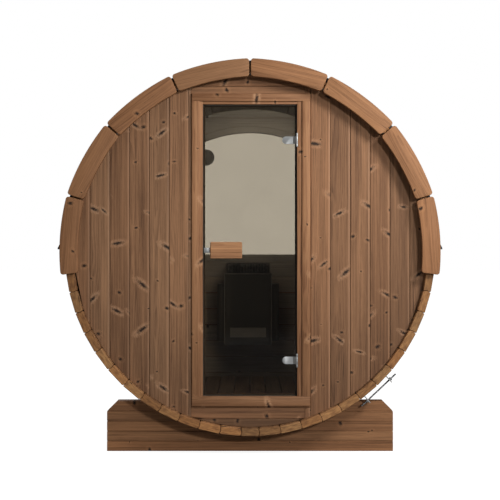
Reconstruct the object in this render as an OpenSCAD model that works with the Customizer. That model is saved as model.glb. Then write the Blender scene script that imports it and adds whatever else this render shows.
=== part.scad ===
// Barrel sauna: a stave cabin on two timber cradles, with a full glass door, a shingled
// roof and a half-moon rear window.
// The front faces -Y, X runs to the right, and z = 0 is the ground under the cradles.
// Parts of the ends are drawn as outlines in X and Z, and given their depth along Y.

/* [Barrel] */
// Radius of the barrel over its staves
barrel_r = 1025; // [850:5:1300]
// Length of the staves
barrel_len = 1900; // [1500:10:4000]
// Thickness of a stave
stave_t = 42; // [32:1:56]
// Width of a full stave, at its outer face
stave_w = 120.7; // [90:0.1:150]
// Height of the barrel's underside above the ground
barrel_lift = 109; // [60:1:250]

/* [Cradles] */
// Width of the front cradle beam
cradle_w = 1620; // [1200:10:2000]
// Width of the back cradle beam
cradle_back_w = 1480; // [1200:10:2000]
// Height of a cradle beam
cradle_h = 283; // [220:1:420]
// Thickness of a cradle beam
cradle_t = 90; // [60:1:140]
// Distance from the stave ends to the nearer face of a cradle
cradle_inset = 180; // [150:5:500]
// Chamfer on the upper corners of a cradle
cradle_chamfer = 57; // [0:1:120]

/* [Fascia] */
// How far the corners of the arched trim stand out past the staves
fascia_reach = 27; // [20:1:40]
// Width of the arched trim
fascia_w = 99; // [70:1:140]
// Thickness of the arched trim
fascia_t = 32; // [18:1:45]
// Pieces in each arch
fascia_pieces = 8; // [6:2:12]
// How far each arch runs below the barrel's middle, in degrees
fascia_drop = 8; // [0:1:20]
// Gap between two pieces of the arch
fascia_gap = 10; // [2:1:20]
// How much larger the radius is that the edges of the trim are sawn to
fascia_saw_extra = 188; // [50:1:600]
// Rounding of the corners of the trim
fascia_corner = 15; // [4:1:25]

/* [Roof] */
// Height of the roof's centre above the barrel's centre
roof_rise = 8.6; // [4:0.1:15]
// Thickness of the roof boarding where it meets the eaves
deck_t = 9; // [8:0.5:20]
// Thickness of the shingle layer
shingle_t = 7.5; // [4:0.5:12]
// How far the eaves flare out past the shingles
eaves_flare = 21.5; // [10:0.5:40]
// Height of the flare
eaves_h = 50; // [30:1:90]
// Depth of the lip at the tip of the flare
eaves_lip = 8; // [4:1:15]

/* [Bands] */
// Number of steel bands
band_count = 3; // [2:1:5]
// Width of a band
band_w = 40; // [25:1:60]
// Thickness of a band
band_t = 2; // [1:0.5:3]
// Distance from the stave ends to the middle of the end bands
band_inset = 125; // [60:5:150]
// Angle of the band screws, below the right side
screw_angle = -47.2; // [-60:0.1:-30]
// Distance between the two lugs of a band
lug_gap = 160; // [100:1:200]
// Height of a lug above the staves
lug_h = 57; // [50:1:70]
// Thickness of a lug
lug_t = 6; // [3:1:10]
// Diameter of the band screws
screw_d = 10; // [6:1:12]
// Length of the band screws
screw_len = 262; // [230:1:300]
// Height of the screws above the staves
screw_h = 40; // [35:1:45]

/* [End walls] */
// Thickness of the end walls
wall_t = 45; // [38:1:60]
// Distance from the stave ends to the outer face of an end wall
wall_inset = 55; // [30:1:120]

/* [Door] */
// Width of the glass door
door_w = 514; // [420:1:600]
// Height of the glass door
door_h = 1614; // [1400:1:1700]
// Height of the door's middle above the barrel's middle
door_lift = 3.5; // [-20:0.5:20]
// Thickness of the door glass
door_t = 8; // [6:1:10]
// Gap between the glass and the frame
door_gap = 5.7; // [5.7:0.1:8]
// Distance that the glass sits behind the front of its lining
door_inset = 9; // [8:1:12]
// Width of the stop that the door closes on
stop_w = 11.5; // [8:0.5:20]
// Width of the casing on the stiles
casing_w = 43; // [30:1:60]
// Height of the casing across the top
casing_head = 42; // [30:1:60]
// Height of the casing across the bottom
casing_sill = 54; // [40:1:80]
// How far the casing stands out from the wall
casing_proud = 12; // [8:1:20]
// Width of the lining that shows on the latch side
lining_left = 17; // [12:1:30]
// Width of the lining that shows on the hinge side
lining_right = 28; // [22:1:40]
// Height of the lining that shows at the top
lining_head = 17; // [12:1:30]
// Shadow gap between the casing and the wall
shadow_gap = 5; // [3:1:10]

/* [Door fittings] */
// Diameter of the hinge knuckles
knuckle_d = 12; // [10:0.5:14]
// Diameter of the hinge pins
pin_d = 5; // [4:0.5:6]
// Height of the hinge leaf on the glass
leaf_h = 41; // [30:1:60]
// Length of the hinge leaf on the glass
leaf_len = 72; // [50:1:100]
// Thickness of the hinge leaf on the glass
leaf_t = 4; // [3:0.5:5]
// Height of a fixed hinge knuckle
end_knuckle_h = 16.5; // [12:0.5:25]
// Distance from the door's middle to each hinge
hinge_reach = 613; // [450:1:700]
// Width of the wooden handle block
handle_w = 177; // [120:1:220]
// Height of the wooden handle block
handle_h = 92; // [60:1:120]
// Thickness of the handle block outside the glass
handle_t = 35; // [25:1:45]
// Thickness of the handle block inside the glass
handle_in_t = 30; // [20:1:40]
// Distance from the free edge of the glass to the handle
handle_inset = 36; // [25:1:60]
// Height of the latch plate
latch_h = 28; // [20:1:40]

/* [Rear window] */
// Radius of the window's clear opening
window_r = 819; // [600:1:870]
// How far the clear opening runs below the barrel's middle
window_drop = 26; // [0:1:80]
// Width of the window frame
window_frame_w = 45; // [35:1:60]
// Thickness of the window glass
window_glass_t = 6; // [4:1:10]
// Depth of the groove that holds the window glass
window_rebate = 10; // [6:1:15]
// Diameter of the round vent in the window
vent_d = 113; // [80:1:150]
// Distance of the vent from the middle, to the left seen from the front
vent_x = 304; // [200:1:400]
// Height of the vent above the barrel's middle
vent_z = 648; // [400:1:700]

/* [Floor] */
// Height of the floor above the inside of the lowest stave
floor_h = 114; // [90:1:200]
// Thickness of the floor boards
floor_t = 28; // [18:1:35]
// Number of bearers under the floor
bearer_count = 3; // [2:1:5]
// Thickness of a bearer
bearer_t = 45; // [30:1:60]
// Depth of a bearer
bearer_h = 47; // [30:1:70]
// Gap between the floor's edge and the staves
floor_gap = 4; // [2:1:20]

/* [Heater] */
// Width of the heater's front case
heater_w = 320; // [250:1:400]
// Height of the heater's case
heater_h = 473; // [400:1:550]
// Depth of the heater from the rear wall
heater_depth = 330; // [250:1:400]
// Height of the heater's underside above the floor
heater_z = 241; // [150:1:350]
// Sideways place of the heater
heater_x = -13; // [-60:1:60]
// Width over the heater's side panels
heater_panel_w = 415; // [360:1:460]
// Height of the heater's side panels
heater_panel_h = 380; // [300:1:395]
// Height of the stones above the case
stones_h = 73; // [40:1:90]

/* [Hidden] */
$fn = 96;

// Colours
timber = "peru";
trim = "burlywood";
dark_timber = "saddlebrown";
roofing = "dimgray";
steel = "silver";
smoked = [0.25, 0.24, 0.22, 0.6];

// Barrel: full staves up each side, one closing stave below and three narrow ones on top
barrel_z = barrel_lift + barrel_r;
barrel_in_r = barrel_r - stave_t;
stave_end = barrel_len / 2;
full_angle = 2 * asin(stave_w / 2 / barrel_r);
side_staves = floor(180 / full_angle - 1.5);
narrow_angle = (180 - side_staves * full_angle) / 2;
bottom_side_staves = 2;
right_seams = [for (i = [0:side_staves]) -90 + narrow_angle / 2 + i * full_angle];
top_seams = [for (i = [0:3]) 90 + (i - 1.5) * narrow_angle];
left_seams = [for (i = [side_staves:-1:0]) 180 - right_seams[i]];
all_seams = concat(right_seams, [top_seams[1], top_seams[2]], left_seams);
// First seam of the lower, middle and upper group on a side, and the last one
group_seams = [for (k = [0:3])
  bottom_side_staves + round(k * (side_staves - bottom_side_staves) / 3)];
wall_front = -stave_end + wall_inset;
wall_back = wall_front + wall_t;

// Fascia and roof, about a centre a little above the barrel's
roof_z = barrel_z + roof_rise;
fascia_r = barrel_r + fascia_reach;
fascia_saw_r = fascia_r + fascia_saw_extra;
fascia_pitch = (180 + 2 * fascia_drop) / fascia_pieces;
deck_r = barrel_r + deck_t;
shingle_r = deck_r + shingle_t;
roof_sides = 720;
arc_steps = 12;
corner_steps = 5;

// Bands
band_pitch = (barrel_len - 2 * band_inset) / (band_count - 1);
band_clearance = 0.2;
screw_r = barrel_r + screw_h;
lug_w = band_w - 4;
nut_w = 1.7 * screw_d;
nut_t = 0.8 * screw_d;
screw_hole_clearance = 0.25;

// Door, its frame and the opening in the front wall
door_z = barrel_z + door_lift;
opening_half_w = door_w / 2 + door_gap;
opening_bottom = door_z - door_h / 2 - door_gap;
opening_top = door_z + door_h / 2 + door_gap;
casing_front = wall_front - casing_proud;
lining_front = casing_front + 8;
glass_front = lining_front + door_inset;
stop_front = glass_front + door_t + door_gap;
rebate_back = wall_front + 5;
casing_left = -opening_half_w - lining_left - casing_w;
casing_right = opening_half_w + lining_right + casing_w;
casing_top = opening_top + lining_head + casing_head;
casing_bottom = opening_bottom - casing_sill;
wall_open_left = casing_left - shadow_gap;
wall_open_right = casing_right + shadow_gap;
wall_open_bottom = casing_bottom - 2 * shadow_gap;
wall_open_top = casing_top;
seal_groove_w = 5.5;
seal_groove_d = 6;

// Hinges: the axis stands in front of the lining, beside the edge of the glass
hinge_x = opening_half_w - 2;
knuckle_front_gap = 1.5;
hinge_y = lining_front - knuckle_front_gap - knuckle_d / 2;
pin_clearance = 0.05;
knuckle_gap = 0.5;
hinge_h = leaf_h + 2 * end_knuckle_h + 2 * knuckle_gap;
hinge_zs = [door_z - hinge_reach, door_z + hinge_reach];
jamb_plate_t = 2.5;
jamb_plate_depth = 26;
strike_w = 25;
strike_h = 57;
strike_t = 2;
latch_t = 8;

// Rear window
window_bottom = barrel_z - window_drop;
window_frame_r = window_r + window_frame_w;
window_frame_bottom = window_bottom - window_frame_w;
glass_back_y = -wall_back + 15;
vent_tube_d = 0.8 * vent_d;
vent_flange_t = 6;

// Floor
floor_z = barrel_z - barrel_in_r + floor_h;
floor_under = floor_z - floor_t;
narrowest_in_r = barrel_in_r * cos(full_angle / 2);
floor_half_w = sqrt(pow(narrowest_in_r, 2) - pow(barrel_z - floor_under, 2)) - floor_gap;
bearer_pitch = (-2 * wall_back - 500) / (bearer_count - 1);

// Heater
heater_back = -wall_back;
heater_front = heater_back - heater_depth;
heater_bottom = floor_z + heater_z;
heater_top = heater_bottom + heater_h;
heater_corner = 18;
panel_front = heater_front + 50;
panel_corner = 30;
slot_w = 240;
slot_h = 66;
slot_d = 12;
slot_z = heater_bottom + 49;

// Points on an arc about the origin
function arc_points(angles, r) = [for (a = angles) r * [cos(a), sin(a)]];

// The angles of a list in reverse order
function reversed(list) = [for (i = [len(list) - 1:-1:0]) list[i]];

// Part of a list, both ends included
function part_of(list, first, last) = [for (i = [first:last]) list[i]];

// Gives an outline in X and Z its depth, from y0 to y1
module across(y0, y1) {
  translate([0, y1, 0])
    rotate([90, 0, 0])
      linear_extrude(y1 - y0)
        children();
}

// A box between two corners
module block(low, high) {
  translate(low) cube(high - low);
}

// Moves an outline to the barrel's centre
module at_barrel() {
  translate([0, barrel_z]) children();
}

// The many-sided outline that the staves make, at radius r
module stave_outline(r) {
  at_barrel() polygon(arc_points(all_seams, r));
}

// Rectangle from a low to a high corner, as an outline
module plate(low, high) {
  translate(low) square(high - low);
}

module staves(angles) {
  color(timber)
    across(-stave_end, stave_end)
      at_barrel()
        polygon(concat(arc_points(angles, barrel_r), arc_points(reversed(angles), barrel_in_r)));
}

module right_group(k) {
  staves(part_of(right_seams, group_seams[k], group_seams[k + 1]));
}

module left_group(k) {
  mirror([1, 0, 0]) right_group(k);
}

module shell_bottom() {
  staves(concat(
    reversed([for (i = [0:bottom_side_staves]) -180 - right_seams[i]]),
    part_of(right_seams, 0, bottom_side_staves)));
}

module shell_top() {
  staves(top_seams);
}

module cradle(width) {
  y0 = -stave_end + cradle_inset;
  color(dark_timber)
    across(y0, y0 + cradle_t)
      difference() {
        polygon([
          [-width / 2, 0], [width / 2, 0],
          [width / 2, cradle_h - cradle_chamfer], [width / 2 - cradle_chamfer, cradle_h],
          [cradle_chamfer - width / 2, cradle_h], [-width / 2, cradle_h - cradle_chamfer]]);
        stave_outline(barrel_r);
      }
}

module cradle_front() {
  cradle(cradle_w);
}

module cradle_back() {
  mirror([0, 1, 0]) cradle(cradle_back_w);
}

// Everything inside the staves, as an outline
module inside_barrel() {
  stave_outline(barrel_in_r);
}

module front_wall_part(low, high) {
  color(timber)
    across(wall_front, wall_back)
      intersection() {
        inside_barrel();
        plate(low, high);
      }
}

module front_wall_left() {
  front_wall_part([-barrel_r, 0], [wall_open_left, barrel_z + barrel_r]);
}

module front_wall_right() {
  front_wall_part([wall_open_right, 0], [barrel_r, barrel_z + barrel_r]);
}

module front_wall_head() {
  front_wall_part([wall_open_left, wall_open_top], [wall_open_right, barrel_z + barrel_r]);
}

module front_wall_sill() {
  front_wall_part([wall_open_left, 0], [wall_open_right, wall_open_bottom]);
}

module door_frame_left() {
  stop_edge = stop_w - opening_half_w;
  color(trim)
    difference() {
      translate([0, 0, opening_bottom])
        linear_extrude(casing_top - casing_head - opening_bottom)
          polygon([
            [casing_left, casing_front], [casing_left + casing_w, casing_front],
            [casing_left + casing_w, lining_front], [-opening_half_w, lining_front],
            [-opening_half_w, stop_front], [stop_edge, stop_front], [stop_edge, wall_back],
            [wall_open_left, wall_back], [wall_open_left, rebate_back],
            [casing_left, rebate_back]]);
      strike_plate();
    }
}

module door_frame_right() {
  stop_edge = opening_half_w - stop_w;
  groove = casing_right - casing_w - seal_groove_w;
  groove_back = lining_front + seal_groove_d;
  color(trim)
    difference() {
      translate([0, 0, opening_bottom])
        linear_extrude(casing_top - casing_head - opening_bottom)
          polygon([
            [casing_right, casing_front], [casing_right, rebate_back],
            [wall_open_right, rebate_back], [wall_open_right, wall_back],
            [stop_edge, wall_back], [stop_edge, stop_front], [opening_half_w, stop_front],
            [opening_half_w, lining_front], [groove, lining_front], [groove, groove_back],
            [groove + seal_groove_w, groove_back], [groove + seal_groove_w, casing_front]]);
      for (z = hinge_zs) jamb_plate(z);
    }
}

module door_frame_head() {
  stile_top = casing_top - casing_head;
  stop_half_w = opening_half_w - stop_w;
  color(trim)
    union() {
      block([casing_left, casing_front, stile_top], [casing_right, rebate_back, casing_top]);
      block([wall_open_left, rebate_back, stile_top], [wall_open_right, wall_back, casing_top]);
      block([-opening_half_w, lining_front, opening_top],
            [opening_half_w, stop_front, stile_top - seal_groove_w]);
      block([-opening_half_w, lining_front + seal_groove_d, opening_top],
            [opening_half_w, stop_front, stile_top]);
      block([-stop_half_w, stop_front, opening_top - stop_w],
            [stop_half_w, wall_back, stile_top]);
    }
}

module door_frame_sill() {
  stop_half_w = opening_half_w - stop_w;
  color(trim)
    union() {
      block([casing_left, casing_front, casing_bottom],
            [casing_right, rebate_back, opening_bottom]);
      block([wall_open_left, rebate_back, wall_open_bottom],
            [wall_open_right, wall_back, opening_bottom]);
      block([-stop_half_w, stop_front, opening_bottom],
            [stop_half_w, wall_back, opening_bottom + stop_w]);
    }
}

module door_glass() {
  color(smoked)
    block([-door_w / 2, glass_front, door_z - door_h / 2],
          [door_w / 2, glass_front + door_t, door_z + door_h / 2]);
}

module door_handle() {
  x0 = handle_inset - door_w / 2;
  z0 = door_z - handle_h / 2;
  color(trim) {
    block([x0, glass_front - handle_t, z0], [x0 + handle_w, glass_front, z0 + handle_h]);
    block([x0, glass_front + door_t, z0],
          [x0 + handle_w, glass_front + door_t + handle_in_t, z0 + handle_h]);
  }
}

module door_latch() {
  color(steel)
    block([-door_w / 2, glass_front - latch_t, door_z - latch_h / 2],
          [handle_inset - door_w / 2, glass_front, door_z + latch_h / 2]);
}

module strike_plate() {
  color(steel)
    block([-opening_half_w - strike_t, lining_front + 2, door_z - strike_h / 2],
          [-opening_half_w, lining_front + 2 + strike_w, door_z + strike_h / 2]);
}

// Fixed plate of a hinge, let into the side of the frame
module jamb_plate(z) {
  block([opening_half_w, hinge_y, z - hinge_h / 2],
        [opening_half_w + jamb_plate_t, hinge_y + jamb_plate_depth, z + hinge_h / 2]);
}

module hinge_bracket(z) {
  jamb_plate(z);
  translate([hinge_x, hinge_y, z - hinge_h / 2]) {
    cylinder(d = knuckle_d, h = end_knuckle_h);
    translate([0, 0, hinge_h - end_knuckle_h]) cylinder(d = knuckle_d, h = end_knuckle_h);
    cylinder(d = pin_d, h = hinge_h);
  }
}

module hinge_brackets() {
  color(steel)
    for (z = hinge_zs)
      difference() {
        union() hinge_bracket(z);
        // Room for the moving knuckle, round the pin
        translate([hinge_x, hinge_y, z - hinge_h / 2 + end_knuckle_h])
          difference() {
            cylinder(d = knuckle_d + 1, h = hinge_h - 2 * end_knuckle_h);
            cylinder(d = pin_d, h = hinge_h - 2 * end_knuckle_h);
          }
      }
}

module hinge_leaf(z) {
  knuckle_left = hinge_x - knuckle_d / 2;
  plate_right = knuckle_left - 3;
  plate_left = plate_right - leaf_len;
  difference() {
    union() {
      translate([0, 0, z - leaf_h / 2])
        linear_extrude(leaf_h)
          union() {
            translate([hinge_x, hinge_y]) circle(d = knuckle_d);
            polygon([
              [plate_right, glass_front], [plate_right - 12, glass_front],
              [plate_right - 12, glass_front - leaf_t],
              [knuckle_left, hinge_y - 2], [hinge_x, hinge_y], [knuckle_left + 1, hinge_y + 4]]);
          }
      across(glass_front - leaf_t, glass_front)
        union() {
          plate([plate_left + leaf_h / 2, z - leaf_h / 2], [plate_right - 6, z + leaf_h / 2]);
          translate([plate_left + leaf_h / 2, z]) circle(d = leaf_h);
        }
    }
    translate([hinge_x, hinge_y, z - leaf_h])
      cylinder(d = pin_d + 2 * pin_clearance, h = 2 * leaf_h);
  }
}

module hinge_leaves() {
  color(steel)
    for (z = hinge_zs) hinge_leaf(z);
}

// Outline of the window, bounded by an arc and a straight sill
module half_moon(r, bottom) {
  intersection() {
    at_barrel() circle(r);
    plate([-barrel_r, bottom], [barrel_r, barrel_z + barrel_r]);
  }
}

module back_wall_lower() {
  color(timber)
    across(-wall_back, -wall_front)
      intersection() {
        inside_barrel();
        plate([-barrel_r, 0], [barrel_r, window_frame_bottom]);
      }
}

module back_wall_upper() {
  color(timber)
    across(-wall_back, -wall_front)
      difference() {
        intersection() {
          inside_barrel();
          plate([-barrel_r, window_frame_bottom], [barrel_r, barrel_z + barrel_r]);
        }
        half_moon(window_frame_r, window_frame_bottom);
      }
}

module window_frame() {
  color(trim)
    difference() {
      across(-wall_back, -wall_front)
        difference() {
          half_moon(window_frame_r, window_frame_bottom);
          half_moon(window_r, window_bottom);
        }
      across(glass_back_y, glass_back_y + window_glass_t)
        half_moon(window_r + window_rebate, window_bottom - window_rebate);
    }
}

module window_glass() {
  color(smoked)
    difference() {
      across(glass_back_y, glass_back_y + window_glass_t)
        half_moon(window_r + window_rebate, window_bottom - window_rebate);
      translate([-vent_x, 0, barrel_z + vent_z])
        rotate([-90, 0, 0]) cylinder(d = vent_tube_d, h = barrel_len);
    }
}

module window_vent() {
  color(steel)
    translate([-vent_x, glass_back_y - vent_flange_t, barrel_z + vent_z])
      rotate([-90, 0, 0])
        union() {
          cylinder(d = vent_d, h = vent_flange_t);
          cylinder(d = vent_tube_d, h = window_glass_t + 2 * vent_flange_t);
          translate([0, 0, vent_flange_t + window_glass_t])
            cylinder(d = vent_d, h = vent_flange_t);
        }
}

module floor_boards() {
  color(trim)
    block([-floor_half_w, wall_back, floor_under], [floor_half_w, -wall_back, floor_z]);
}

module floor_bearers() {
  color(timber)
    for (i = [0:bearer_count - 1])
      translate([0, (i - (bearer_count - 1) / 2) * bearer_pitch, 0])
        across(-bearer_t / 2, bearer_t / 2)
          intersection() {
            inside_barrel();
            plate([-barrel_r, floor_under - bearer_h], [barrel_r, floor_under]);
          }
}

// A box with rounded upright edges
module rounded_case(width, y0, y1, height, corner) {
  translate([0, (y0 + y1) / 2, 0])
    linear_extrude(height)
      union() {
        square([width - 2 * corner, y1 - y0], center = true);
        square([width, y1 - y0 - 2 * corner], center = true);
        for (sx = [-1, 1], sy = [-1, 1])
          translate([sx * (width / 2 - corner), sy * ((y1 - y0) / 2 - corner)])
            circle(corner);
      }
}

module heater_housing() {
  panel_z = (heater_h - heater_panel_h) / 4;
  color(steel)
    difference() {
      translate([heater_x, 0, heater_bottom])
        union() {
          rounded_case(heater_w, heater_front, heater_back, heater_h, heater_corner);
          translate([0, 0, panel_z])
            rounded_case(heater_panel_w, panel_front, heater_back - 20, heater_panel_h, panel_corner);
        }
      block([heater_x - slot_w / 2, heater_front - 1, slot_z],
            [heater_x + slot_w / 2, heater_front + slot_d, slot_z + slot_h]);
    }
}

module heater_stones() {
  color("gray")
    translate([heater_x, 0, heater_top])
      rounded_case(heater_w - 50, heater_front + 25, heater_back - 40, stones_h, 60);
}

// Everything above the roof's centre line, to one side or both
module above_eaves(x0, x1) {
  plate([x0, roof_z], [x1, roof_z + 2 * barrel_r]);
}

module roof_deck() {
  color(dark_timber)
    difference() {
      across(-stave_end, stave_end)
        difference() {
          intersection() {
            translate([0, roof_z]) circle(deck_r, $fn = roof_sides);
            above_eaves(-2 * barrel_r, 2 * barrel_r);
          }
          stave_outline(barrel_r);
        }
      for (i = [0:band_count - 1])
        translate([0, (i - (band_count - 1) / 2) * band_pitch, 0])
          across(-band_w / 2 - 2, band_w / 2 + 2)
            stave_outline(barrel_r + band_t + band_clearance);
    }
}

module shingles(x0, x1) {
  color(roofing)
    across(-stave_end, stave_end)
      intersection() {
        difference() {
          translate([0, roof_z]) circle(shingle_r, $fn = roof_sides);
          translate([0, roof_z]) circle(deck_r, $fn = roof_sides);
        }
        above_eaves(x0, x1);
      }
}

module roof_shingles_left() {
  shingles(-2 * barrel_r, 0);
}

module roof_shingles_right() {
  shingles(0, 2 * barrel_r);
}

module eave() {
  tip = shingle_r + eaves_flare;
  across(-stave_end, stave_end)
    translate([0, roof_z])
      difference() {
        polygon([
          [shingle_r - deck_t, 0], [tip, 0], [tip, eaves_lip],
          [sqrt(pow(shingle_r, 2) - pow(eaves_h, 2)), eaves_h]]);
        circle(shingle_r, $fn = roof_sides);
      }
}

module eaves() {
  color(roofing) {
    eave();
    mirror([1, 0, 0]) eave();
  }
}

// Points along an arc, from one angle to another
function arc(centre, r, from, to, steps, skip_first = 0, skip_last = 0) =
  [for (i = [skip_first:steps - skip_last])
    let (a = from + (to - from) * i / steps)
    centre + r * [cos(a), sin(a)]];

// Centre of the saw cut that meets radius r at the ends of a trim piece
function saw_centre(r, half_angle) =
  r * cos(half_angle) - sqrt(pow(fascia_saw_r, 2) - pow(r * sin(half_angle), 2));

// Centre of a rounded corner: clear of the piece's end, and at a reach from the saw centre
function corner_centre(centre, reach, half_angle) =
  let (
    side = fascia_corner + fascia_gap / 2,
    along = centre * cos(half_angle)
      + sqrt(pow(reach, 2) - pow(side - centre * sin(half_angle), 2)))
  side * [-cos(half_angle), sin(half_angle)] + along * [sin(half_angle), cos(half_angle)];

// Outline of one trim piece, standing at the top of the arch
function fascia_outline(half_angle) =
  let (
    outer_y = saw_centre(fascia_r, half_angle),
    inner_y = saw_centre(fascia_r - fascia_w, half_angle),
    outer = corner_centre(outer_y, fascia_saw_r - fascia_corner, half_angle),
    inner = corner_centre(inner_y, fascia_saw_r + fascia_corner, half_angle),
    outer_a = atan2(outer[1] - outer_y, outer[0]),
    inner_a = atan2(inner[1] - inner_y, inner[0]))
  concat(
    arc([0, outer_y], fascia_saw_r, 180 - outer_a, outer_a, arc_steps),
    arc(outer, fascia_corner, outer_a, -half_angle, corner_steps, skip_first = 1),
    arc(inner, fascia_corner, -half_angle, inner_a - 180, corner_steps, skip_last = 1),
    arc([0, inner_y], fascia_saw_r, inner_a, 180 - inner_a, arc_steps),
    arc([-inner[0], inner[1]], fascia_corner, -inner_a, half_angle - 180, corner_steps,
        skip_first = 1),
    arc([-outer[0], outer[1]], fascia_corner, 180 + half_angle, 180 - outer_a, corner_steps,
        skip_last = 1));

module fascia_piece(i) {
  across(-stave_end - fascia_t, -stave_end)
    translate([0, roof_z])
      rotate(fascia_pitch * (i + 0.5) - fascia_drop - 90)
        polygon(fascia_outline(fascia_pitch / 2));
}

module fascia_pieces_from(first, last) {
  color(trim)
    for (i = [first:last]) fascia_piece(i);
}

module fascia_front_right() {
  fascia_pieces_from(0, fascia_pieces / 2 - 1);
}

module fascia_front_left() {
  fascia_pieces_from(fascia_pieces / 2, fascia_pieces - 1);
}

module fascia_back_right() {
  mirror([0, 1, 0]) fascia_front_right();
}

module fascia_back_left() {
  mirror([0, 1, 0]) fascia_front_left();
}

// Puts children on the screw's line: X along the screw, Z out from the staves
module at_screw() {
  translate([0, 0, barrel_z])
    rotate([0, -screw_angle, 0])
      rotate([0, 90, 0])
        rotate([0, 0, 180])
          children();
}

module band() {
  half_gap = lug_gap / 2;
  strap_end = half_gap + lug_t / 2;
  color(steel)
    difference() {
      union() {
        difference() {
          across(-band_w / 2, band_w / 2) stave_outline(barrel_r + band_t);
          at_screw() block([-strap_end, -band_w, barrel_r / 2], [strap_end, band_w, 2 * barrel_r]);
        }
        at_screw()
          for (x = [-half_gap - lug_t, half_gap])
            block([x, -lug_w / 2, barrel_r - stave_t], [x + lug_t, lug_w / 2, barrel_r + lug_h]);
      }
      across(-band_w, band_w) stave_outline(barrel_r);
      at_screw()
        translate([-screw_len, 0, screw_r])
          rotate([0, 90, 0])
            cylinder(d = screw_d + 2 * screw_hole_clearance, h = 2 * screw_len);
    }
}

module at_bands() {
  for (i = [0:band_count - 1])
    translate([0, (i - (band_count - 1) / 2) * band_pitch, 0]) children();
}

module bands() {
  at_bands() band();
}

module tension_screws() {
  nut_at = lug_gap / 2 + lug_t;
  color(steel)
    at_bands()
      at_screw()
        translate([0, 0, screw_r])
          rotate([0, 90, 0]) {
            translate([0, 0, -screw_len / 2]) cylinder(d = screw_d, h = screw_len);
            translate([0, 0, nut_at]) cylinder(d = nut_w, h = nut_t, $fn = 6);
            translate([0, 0, -nut_at - nut_t]) cylinder(d = nut_w, h = nut_t, $fn = 6);
          }
}

cradle_front();
cradle_back();
shell_bottom();
shell_top();
right_group(0);  // shell_right_lower
right_group(1);  // shell_right_middle
right_group(2);  // shell_right_upper
left_group(0);  // shell_left_lower
left_group(1);  // shell_left_middle
left_group(2);  // shell_left_upper
front_wall_left();
front_wall_right();
front_wall_head();
front_wall_sill();
door_frame_left();
door_frame_right();
door_frame_head();
door_frame_sill();
door_glass();
door_handle();
door_latch();
hinge_leaves();
hinge_brackets();
strike_plate();
back_wall_lower();
back_wall_upper();
window_frame();
window_glass();
window_vent();
floor_boards();
floor_bearers();
heater_housing();
heater_stones();
roof_deck();
roof_shingles_left();
roof_shingles_right();
eaves();
fascia_front_left();
fascia_front_right();
fascia_back_left();
fascia_back_right();
bands();
tension_screws();
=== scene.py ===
"""Looks for a barrel sauna: boards, staves, shingles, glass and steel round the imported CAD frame.

Metres throughout. The front faces -Y, X runs to the right and z = 0 is the ground.
"""

import math
import random

import bmesh
import bpy
import numpy as np
from mathutils import Matrix, Vector, noise


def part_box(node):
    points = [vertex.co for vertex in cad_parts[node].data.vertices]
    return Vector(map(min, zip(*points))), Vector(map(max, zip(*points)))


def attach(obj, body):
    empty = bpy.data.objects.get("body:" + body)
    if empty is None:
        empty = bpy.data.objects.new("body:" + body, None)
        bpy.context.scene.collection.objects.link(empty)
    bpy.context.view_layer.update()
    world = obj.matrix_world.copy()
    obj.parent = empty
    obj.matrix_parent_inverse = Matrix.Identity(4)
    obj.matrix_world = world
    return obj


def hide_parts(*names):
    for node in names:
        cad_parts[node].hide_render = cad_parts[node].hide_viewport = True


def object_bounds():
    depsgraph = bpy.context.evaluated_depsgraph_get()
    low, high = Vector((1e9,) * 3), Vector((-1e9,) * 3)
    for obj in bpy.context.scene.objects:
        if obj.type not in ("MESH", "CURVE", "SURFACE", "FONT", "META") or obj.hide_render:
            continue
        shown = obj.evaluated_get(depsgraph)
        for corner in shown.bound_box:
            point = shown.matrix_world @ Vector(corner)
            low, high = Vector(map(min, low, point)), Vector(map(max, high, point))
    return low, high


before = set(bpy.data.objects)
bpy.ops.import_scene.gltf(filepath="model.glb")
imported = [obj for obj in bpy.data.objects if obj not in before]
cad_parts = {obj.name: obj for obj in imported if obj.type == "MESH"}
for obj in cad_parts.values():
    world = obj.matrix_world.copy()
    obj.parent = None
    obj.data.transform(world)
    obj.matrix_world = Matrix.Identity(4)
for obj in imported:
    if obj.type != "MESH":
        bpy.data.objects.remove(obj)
cad_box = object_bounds()

# ---------------------------------------------------------------- sizes read from the frame

MM = 0.001
X, Y, Z = Vector((1, 0, 0)), Vector((0, 1, 0)), Vector((0, 0, 1))


def node_points(node):
    """The vertices of a CAD node, as an array of X, Y and Z."""
    return np.array([v.co[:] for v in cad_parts[node].data.vertices])


SHELLS = sorted(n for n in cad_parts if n.startswith("shell_"))
shell_low, shell_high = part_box("shell_bottom")[0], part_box("shell_top")[1]
BARREL_Z = (shell_low.z + shell_high.z) / 2
STAVE_END = shell_high.y
bottom_radii = np.hypot(*(node_points("shell_bottom")[:, [0, 2]] - [0, BARREL_Z]).T)
BARREL_R, INSIDE_R = float(bottom_radii.max()), float(bottom_radii.min())
WALL_FRONT, WALL_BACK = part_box("front_wall_left")[0].y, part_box("front_wall_left")[1].y
OPEN_LEFT, OPEN_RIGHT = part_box("front_wall_left")[1].x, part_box("front_wall_right")[0].x
OPEN_BOTTOM, OPEN_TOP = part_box("front_wall_sill")[1].z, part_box("front_wall_head")[0].z
ROOF_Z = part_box("eaves")[0].z
SHINGLE_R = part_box("roof_shingles_right")[1].x
BOARD_COVER = 110.3 * MM
BOARD_END_R = INSIDE_R - 2 * MM


# ---------------------------------------------------------------- materials


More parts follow.
